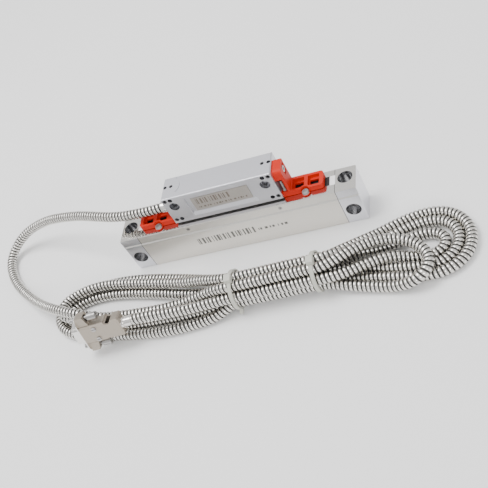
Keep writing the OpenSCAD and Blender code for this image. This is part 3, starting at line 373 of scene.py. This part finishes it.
# Painted shade: a darker steel for the walls inside holes, where shade falls.
BORE_SHADE_LOOK = material("bore_painted_shade", (0.55, 0.55, 0.56), 1.0, 0.24, 0.0, 1500, rough_spread=0.03)
POLISHED_LOOK = material("polished_face", (0.72, 0.70, 0.67), 1.0, 0.14, 0.0, 900, rough_spread=0.03)
MARK_LOOK = material("printed_marks", (0.13, 0.125, 0.115), 0.0, 0.6, 0.05, 1200, tone=0.15, specular=0.2)
LABEL_MARK_LOOK = material("label_marks", (0.16, 0.135, 0.115), 0.0, 0.6, 0.05, 1200, tone=0.15, specular=0.2)
SCREW_LOOK = material("zinc_screw", (0.42, 0.41, 0.40), 1.0, 0.34, 0.05, 1500)
# Painted shade: a near-black steel for the head's top and front screws, for the shade they sit in.
DARK_SCREW_LOOK = material("shaded_screw", (0.13, 0.13, 0.135), 1.0, 0.3, 0.05, 1500)
SLOT_OF = {s["node"]: s["material_slot"] for s in frame["record"]["subparts"]}


DARK_SCREWS = ("head_top_screws", "head_front_screws")


def dress(piece, *looks):
    piece.data.materials.clear()
    for look in looks:
        piece.data.materials.append(look)


for name, piece in NODES.items():
    if SLOT_OF[name] == "steel" and "screw" in name:
        dress(piece, DARK_SCREW_LOOK if name in DARK_SCREWS else SCREW_LOOK)
    else:
        dress(piece, LOOKS[SLOT_OF[name]])


def darken_bore(node, axis, centre, radius):
    """Gives painted shade, a darker steel, to a node's faces that lie inside a hole: axis is its direction, centre
    and radius its section.
    """
    piece = NODES[node]
    if len(piece.data.materials) == 1:
        piece.data.materials.append(BORE_SHADE_LOOK)
    across = [k for k in range(3) if k != axis]
    for face in piece.data.polygons:
        reach = max(math.hypot(*(piece.data.vertices[i].co[k] / MM - c for k, c in zip(across, centre)))
                    for i in face.vertices)
        if reach < radius and abs(face.normal[axis]) < 0.9:
            face.material_index = 1


def polish_top(node):
    """Gives the polished look to a node's faces that look upwards."""
    piece = NODES[node]
    piece.data.materials.append(POLISHED_LOOK)
    for face in piece.data.polygons:
        if face.normal.z > 0.3 and face.material_index == 0:
            face.material_index = len(piece.data.materials) - 1


# Painted shade inside the caps' counterbores and the head's holes.
CAP_HOLE_X = 88
for node, side in (("cap_right", 1), ("cap_left", -1)):
    darken_bore(node, 2, (side * CAP_HOLE_X, 1.7), 5.9)
    darken_bore(node, 1, (side * CAP_HOLE_X, 13), 5.9)
for side in (-1, 1):
    darken_bore("head_housing", 1, (-2 + side * 36.6, 52.2), 4.1)
    for dx in (37, 41.5):
        for z in (38.6, 58.9):
            darken_bore("head_housing", 1, (-2 + side * dx, z), 1.9)
    for dx in (-2.5, 2.5):
        darken_bore("head_housing", 2, (-2 + side * 39.5 + dx, 6), 1.7)
for node in ("profile", "cap_right", "cap_left"):
    polish_top(node)
for piece in (body_bars, body_dots):
    dress(piece, MARK_LOOK)
for piece in (label_bars, label_rows):
    dress(piece, LABEL_MARK_LOOK)
# The hose's groove faces keep the painted-shade material.
hose_dark = np.zeros(len(hose.data.polygons), np.int32)
hose.data.polygons.foreach_get("material_index", hose_dark)
dress(hose, LOOKS["hose_steel"], GROOVE_SHADE_LOOK)
hose.data.polygons.foreach_set("material_index", hose_dark)


# Floor and light
def make_floor():
    mesh = bpy.data.meshes.new("floor")
    mesh.from_pydata([(-4, -4, 0), (4, -4, 0), (4, 4, 0), (-4, 4, 0)], [], [(0, 1, 2, 3)])
    floor = bpy.data.objects.new("floor", mesh)
    bpy.context.scene.collection.objects.link(floor)
    m = bpy.data.materials.new("pale_floor")
    m.use_nodes = True
    shader = m.node_tree.nodes["Principled BSDF"]
    shader.inputs["Base Color"].default_value = (0.95, 0.95, 0.95, 1)
    shader.inputs["Roughness"].default_value = 0.9
    mesh.materials.append(m)


def soft_light(name, at, size, power, target=(0, -0.02, 0.02)):
    data = bpy.data.lights.new(name, "AREA")
    data.shape = "RECTANGLE"
    data.size, data.size_y = size
    data.energy = power
    lamp = bpy.data.objects.new(name, data)
    lamp.location = at
    lamp.rotation_euler = (Vector(target) - Vector(at)).to_track_quat("-Z", "Y").to_euler()
    bpy.context.scene.collection.objects.link(lamp)


# Sky from the ground up: each height, from -1 to 1, and its brightness. The dark band gives metal its contrast.
SKY = [(-1.0, 1.2), (0.0, 1.2), (0.08, 0.2), (0.3, 0.03), (0.54, 0.12), (0.68, 1.5), (1.0, 2.0)]


def make_world():
    world = bpy.data.worlds.new("studio")
    world.use_nodes = True
    tree = world.node_tree
    place = tree.nodes.new("ShaderNodeTexCoord")
    split = tree.nodes.new("ShaderNodeSeparateXYZ")
    height = tree.nodes.new("ShaderNodeMapRange")
    height.inputs["From Min"].default_value = -1
    ramp = tree.nodes.new("ShaderNodeValToRGB")
    for k, (z, bright) in enumerate(SKY):
        stop = ramp.color_ramp.elements[k] if k < 2 else ramp.color_ramp.elements.new(0.5)
        stop.position = (z + 1) / 2
        stop.color = (bright, bright, bright, 1)
    tree.links.new(place.outputs["Generated"], split.inputs["Vector"])
    tree.links.new(split.outputs["Z"], height.inputs["Value"])
    tree.links.new(height.outputs["Result"], ramp.inputs["Fac"])
    tree.links.new(ramp.outputs["Color"], tree.nodes["Background"].inputs["Color"])
    tree.nodes["Background"].inputs["Strength"].default_value = 0.62
    bpy.context.scene.world = world


make_floor()
make_world()
soft_light("key", (-0.4, 0.1, 1.3), (0.8, 0.6), 17)
soft_light("front", (0.5, -1.3, 0.7), (0.8, 0.4), 8)
